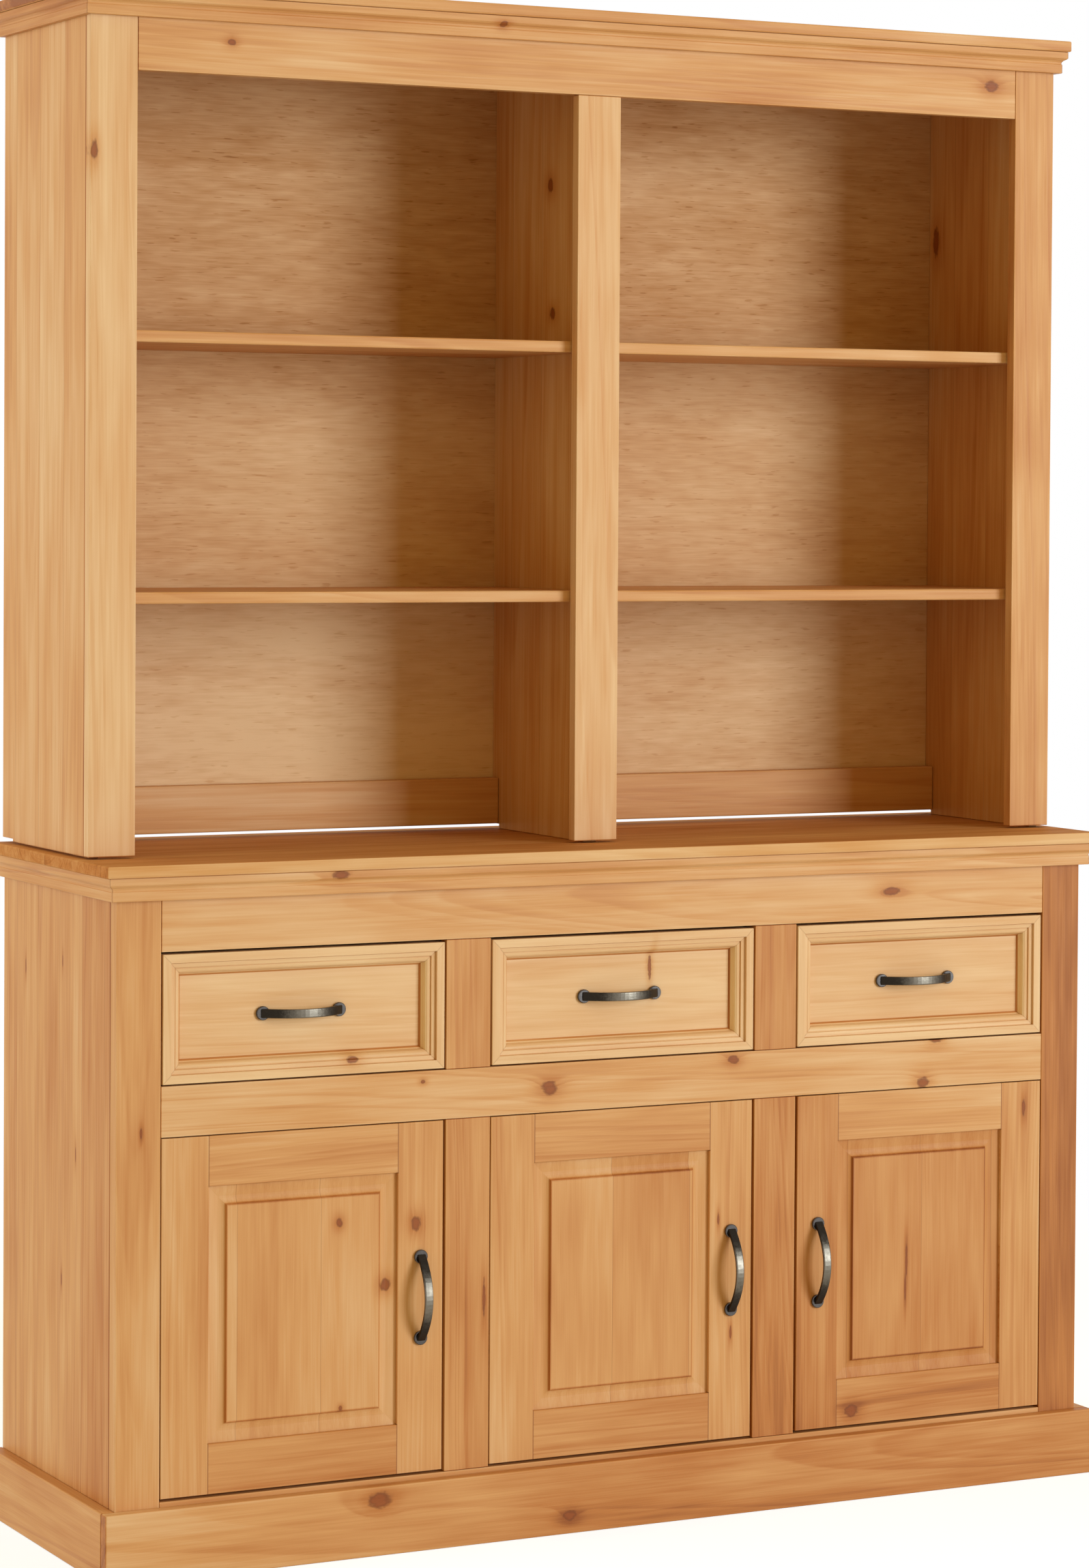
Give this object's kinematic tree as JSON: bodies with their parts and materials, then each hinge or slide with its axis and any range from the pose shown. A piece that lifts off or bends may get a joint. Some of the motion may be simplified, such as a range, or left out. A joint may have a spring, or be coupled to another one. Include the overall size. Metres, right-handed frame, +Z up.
{
  "type": "sideboard with open hutch",
  "caption": "Pine sideboard with panelled doors and moulded drawers below a worktop, and an open shelved hutch under a moulded cornice above it.",
  "frame": {"origin": "centre of the bounding box's footprint, on the floor", "axes": "+X to the viewer's right, -Y out of the front, +Z up"},
  "size_m": [1.3426, 0.4084, 1.8288],
  "materials": {
    "frame_pine": "honey waxed satin",
    "side_pine": "honey waxed satin",
    "front_pine": "pale honey waxed satin",
    "inner_pine": "waxed satin, seen in shade",
    "pine_veneer": "veneered ply, waxed",
    "drawer_pine": "bare sanded",
    "pewter": "antique pewter, brushed",
    "plated_steel": "nickel plated"
  },
  "bodies": {
    "carcass": {"plinth_front": "frame_pine", "base_stile_left": "frame_pine", "base_stile_right": "frame_pine", "base_top_rail": "frame_pine", "base_middle_rail": "frame_pine", "drawer_divider_left": "frame_pine", "drawer_divider_right": "frame_pine", "door_post_left": "frame_pine", "door_post_right": "frame_pine", "base_bottom_board": "frame_pine", "worktop_board": "frame_pine", "worktop_moulding": "frame_pine", "hutch_stile_left": "frame_pine", "hutch_stile_centre": "frame_pine", "hutch_stile_right": "frame_pine", "hutch_top_rail": "frame_pine", "hutch_top_board": "frame_pine", "cornice_moulding": "frame_pine", "shelf_upper_left": "frame_pine", "shelf_upper_right": "frame_pine", "shelf_lower_left": "frame_pine", "shelf_lower_right": "frame_pine", "plinth_left": "side_pine", "plinth_right": "side_pine", "base_side_left": "side_pine", "base_side_right": "side_pine", "hutch_side_left": "side_pine", "hutch_side_right": "side_pine", "cupboard_partition_left": "inner_pine", "cupboard_partition_right": "inner_pine", "drawer_deck": "inner_pine", "hutch_partition": "inner_pine", "hutch_back_rail_left": "inner_pine", "hutch_back_rail_right": "inner_pine", "base_back_panel": "pine_veneer", "hutch_back_panel": "pine_veneer"},
    "drawer_1": {"drawer_front_1": "front_pine", "drawer_box_1": "drawer_pine", "drawer_handle_1": "pewter"},
    "door_1": {"door_frame_1": "frame_pine", "door_panel_1": "front_pine", "door_handle_1": "pewter", "door_hinge_upper_1": "plated_steel", "door_hinge_lower_1": "plated_steel"},
    "drawer_2": {"drawer_front_2": "front_pine", "drawer_box_2": "drawer_pine", "drawer_handle_2": "pewter"},
    "door_2": {"door_frame_2": "frame_pine", "door_panel_2": "front_pine", "door_handle_2": "pewter", "door_hinge_upper_2": "plated_steel", "door_hinge_lower_2": "plated_steel"},
    "drawer_3": {"drawer_front_3": "front_pine", "drawer_box_3": "drawer_pine", "drawer_handle_3": "pewter"},
    "door_3": {"door_frame_3": "frame_pine", "door_panel_3": "front_pine", "door_handle_3": "pewter", "door_hinge_upper_3": "plated_steel", "door_hinge_lower_3": "plated_steel"}
  },
  "joints": [
    {"name": "drawer_1_slide", "type": "slide", "parent": "carcass", "child": "drawer_1", "axis": [0, -1, 0], "range_m": [0, 0.27]},
    {"name": "drawer_2_slide", "type": "slide", "parent": "carcass", "child": "drawer_2", "axis": [0, -1, 0], "range_m": [0, 0.27]},
    {"name": "drawer_3_slide", "type": "slide", "parent": "carcass", "child": "drawer_3", "axis": [0, -1, 0], "range_m": [0, 0.27]},
    {"name": "door_1_hinge", "type": "hinge", "parent": "carcass", "child": "door_1", "pos_m": [-0.5945, -0.17685, 0.2967], "axis": [0, 0, -1], "range_deg": [0, 100]},
    {"name": "door_2_hinge", "type": "hinge", "parent": "carcass", "child": "door_2", "pos_m": [-0.178, -0.17685, 0.2967], "axis": [0, 0, -1], "range_deg": [0, 100]},
    {"name": "door_3_hinge", "type": "hinge", "parent": "carcass", "child": "door_3", "pos_m": [0.5945, -0.17685, 0.2967], "axis": [0, 0, 1], "range_deg": [0, 100]}
  ]
}
